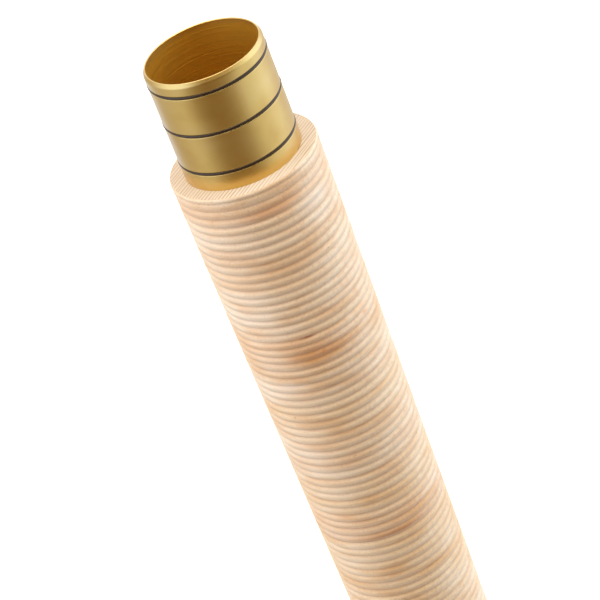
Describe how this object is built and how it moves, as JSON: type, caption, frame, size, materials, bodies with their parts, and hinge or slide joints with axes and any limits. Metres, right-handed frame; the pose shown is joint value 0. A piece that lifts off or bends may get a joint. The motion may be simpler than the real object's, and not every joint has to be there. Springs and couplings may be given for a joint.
{
  "type": "didgeridoo",
  "caption": "Mouthpiece section of a take-apart didgeridoo: a ribbed, slowly tapering pine tube with a gold aluminium spigot sealed by rubber rings and a pull-off mouthpiece.",
  "frame": {"origin": "centre of the mouthpiece rim's flat foot, on which the section stands", "axes": "+Z along the tube's axis, from the mouthpiece up to the open mouth of the spigot; +X and +Y are across the tube"},
  "size_m": [0.0632, 0.0632, 0.81],
  "materials": {
    "pine": "fine-turned, oiled, satin",
    "gold_aluminium": "gold anodised, satin turned",
    "rubber": "smooth black rubber"
  },
  "bodies": {
    "mouthpiece": {"mouthpiece_rim": "pine", "mouthpiece_tenon": "gold_aluminium"},
    "mouthpiece_rings": {"mouthpiece_ring_1": "rubber", "mouthpiece_ring_2": "rubber"},
    "tube": {"wood_block_1": "pine", "wood_block_2": "pine", "wood_block_3": "pine", "wood_block_4": "pine", "wood_block_5": "pine", "wood_block_6": "pine", "wood_block_7": "pine", "wood_block_8": "pine", "spigot": "gold_aluminium", "spigot_ring_1": "rubber", "spigot_ring_2": "rubber", "spigot_ring_3": "rubber", "socket_sleeve": "gold_aluminium"}
  },
  "joints": [
    {"name": "mouthpiece_turn", "type": "hinge", "parent": "mouthpiece", "child": "mouthpiece_rings", "pos_m": [0, 0, 0.024], "axis": [0, 0, 1], "continuous": true},
    {"name": "mouthpiece_pull", "type": "slide", "parent": "mouthpiece_rings", "child": "tube", "axis": [0, 0, 1], "range_m": [0, 0.025]}
  ]
}
